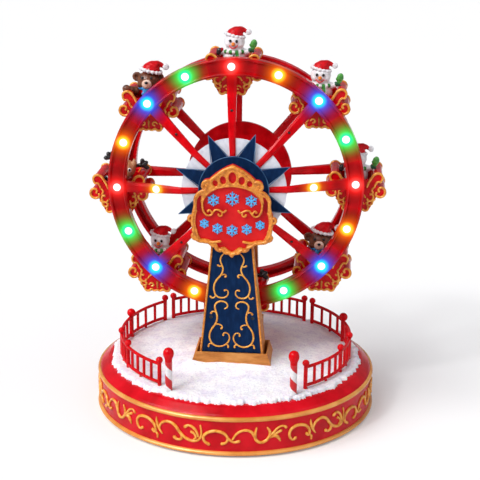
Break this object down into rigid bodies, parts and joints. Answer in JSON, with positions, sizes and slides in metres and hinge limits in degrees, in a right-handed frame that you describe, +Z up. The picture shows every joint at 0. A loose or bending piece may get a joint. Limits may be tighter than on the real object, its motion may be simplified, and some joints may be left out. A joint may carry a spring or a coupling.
{
  "type": "musical christmas ferris wheel",
  "caption": "Battery-driven musical table-top Christmas ferris wheel: a lit wheel with hanging sleighs and figures on a round snowy base with a fence, towers and a shield.",
  "frame": {"origin": "centre of the round base on the table, at the bottom of the feet", "axes": "+Z up, the front with the shield faces -Y, +X to the right seen from the front; the wheel turns about Y"},
  "size_m": [0.229, 0.2226, 0.3024],
  "materials": {
    "red_plastic": "glossy red",
    "gold_plastic": "satin gold",
    "ochre_plastic": "satin ochre",
    "navy_plastic": "satin navy",
    "white_plastic": "matt white",
    "snow": "matt snow",
    "black_plastic": "matt black",
    "sign_red": "satin red",
    "steel": "bright",
    "rubber": "matt",
    "cell": "printed sleeve without text",
    "brass": "plain",
    "board_green": "solder mask",
    "figure_white": "painted",
    "figure_brown": "painted",
    "light_white": "clear lens, lit white",
    "light_green": "clear lens, lit green",
    "light_blue": "clear lens, lit blue",
    "light_amber": "clear lens, lit amber"
  },
  "bodies": {
    "base": {"base_shell": "red_plastic", "base_trim_rings": "gold_plastic", "snow_ground": "snow", "bottom_cover": "black_plastic", "housing_screws": "steel", "rubber_feet": "rubber", "battery_tray": "black_plastic", "aa_batteries": "cell", "battery_contacts": "brass", "battery_door": "black_plastic", "speaker": "black_plastic", "circuit_board": "board_green", "power_switch_body": "black_plastic", "fence_left": "red_plastic", "fence_right": "red_plastic", "fence_rear": "red_plastic", "candy_bollards": "red_plastic", "front_plinth": "ochre_plastic", "front_tower_housing": "ochre_plastic", "front_tower_panel": "navy_plastic", "sign_board": "sign_red", "sign_frame": "gold_plastic", "gear_motor": "black_plastic", "drive_belt": "rubber", "axle_bushes": "brass", "rear_plinth": "ochre_plastic", "rear_post": "ochre_plastic", "rear_post_cover": "navy_plastic"},
    "wheel": {"wheel_axle": "steel", "wheel_front": "red_plastic", "wheel_rear": "red_plastic", "hub_drum": "red_plastic", "front_disc": "white_plastic", "star_cover": "navy_plastic", "hub_pulley": "black_plastic", "gondola_pins": "steel", "lights_white": "light_white", "lights_green": "light_green", "lights_blue": "light_blue", "lights_amber": "light_amber"},
    "drive_pulley": {"drive_pulley": "black_plastic"},
    "switch_knob": {"power_switch_knob": "black_plastic"},
    "gondola_1": {"gondola_seat_1": "red_plastic", "figure_1": "figure_white"},
    "gondola_2": {"gondola_seat_2": "red_plastic", "figure_2": "figure_brown"},
    "gondola_3": {"gondola_seat_3": "red_plastic", "figure_3": "figure_brown"},
    "gondola_4": {"gondola_seat_4": "red_plastic", "figure_4": "figure_white"},
    "gondola_5": {"gondola_seat_5": "red_plastic", "figure_5": "figure_brown"},
    "gondola_6": {"gondola_seat_6": "red_plastic", "figure_6": "figure_brown"},
    "gondola_7": {"gondola_seat_7": "red_plastic", "figure_7": "figure_white"},
    "gondola_8": {"gondola_seat_8": "red_plastic", "figure_8": "figure_white"}
  },
  "joints": [
    {"name": "wheel_spin", "type": "hinge", "parent": "base", "child": "wheel", "pos_m": [0, 0, 0.183], "axis": [0, 1, 0], "continuous": true},
    {"name": "gondola_1_swing", "type": "hinge", "parent": "wheel", "child": "gondola_1", "pos_m": [-0.00385, 0.0098, 0.27492], "axis": [0, 1, 0], "continuous": true},
    {"name": "gondola_2_swing", "type": "hinge", "parent": "wheel", "child": "gondola_2", "pos_m": [-0.06772, 0.0098, 0.24527], "axis": [0, 1, 0], "continuous": true},
    {"name": "gondola_3_swing", "type": "hinge", "parent": "wheel", "child": "gondola_3", "pos_m": [-0.09192, 0.0098, 0.17915], "axis": [0, 1, 0], "continuous": true},
    {"name": "gondola_4_swing", "type": "hinge", "parent": "wheel", "child": "gondola_4", "pos_m": [-0.06227, 0.0098, 0.11528], "axis": [0, 1, 0], "continuous": true},
    {"name": "gondola_5_swing", "type": "hinge", "parent": "wheel", "child": "gondola_5", "pos_m": [0.00385, 0.0098, 0.09108], "axis": [0, 1, 0], "continuous": true},
    {"name": "gondola_6_swing", "type": "hinge", "parent": "wheel", "child": "gondola_6", "pos_m": [0.06772, 0.0098, 0.12073], "axis": [0, 1, 0], "continuous": true},
    {"name": "gondola_7_swing", "type": "hinge", "parent": "wheel", "child": "gondola_7", "pos_m": [0.09192, 0.0098, 0.18685], "axis": [0, 1, 0], "continuous": true},
    {"name": "gondola_8_swing", "type": "hinge", "parent": "wheel", "child": "gondola_8", "pos_m": [0.06227, 0.0098, 0.25072], "axis": [0, 1, 0], "continuous": true},
    {"name": "drive_pulley_spin", "type": "hinge", "parent": "base", "child": "drive_pulley", "pos_m": [0, 0.0465, 0.017], "axis": [0, 1, 0], "continuous": true},
    {"name": "power_switch_slide", "type": "slide", "parent": "base", "child": "switch_knob", "axis": [1, 0, 0], "range_m": [0, 0.004]}
  ],
  "couplings": [
    {"joint": "gondola_1_swing", "follows": "wheel_spin", "ratio": -1},
    {"joint": "gondola_2_swing", "follows": "wheel_spin", "ratio": -1},
    {"joint": "gondola_3_swing", "follows": "wheel_spin", "ratio": -1},
    {"joint": "gondola_4_swing", "follows": "wheel_spin", "ratio": -1},
    {"joint": "gondola_5_swing", "follows": "wheel_spin", "ratio": -1},
    {"joint": "gondola_6_swing", "follows": "wheel_spin", "ratio": -1},
    {"joint": "gondola_7_swing", "follows": "wheel_spin", "ratio": -1},
    {"joint": "gondola_8_swing", "follows": "wheel_spin", "ratio": -1},
    {"joint": "drive_pulley_spin", "follows": "wheel_spin", "ratio": 2}
  ]
}
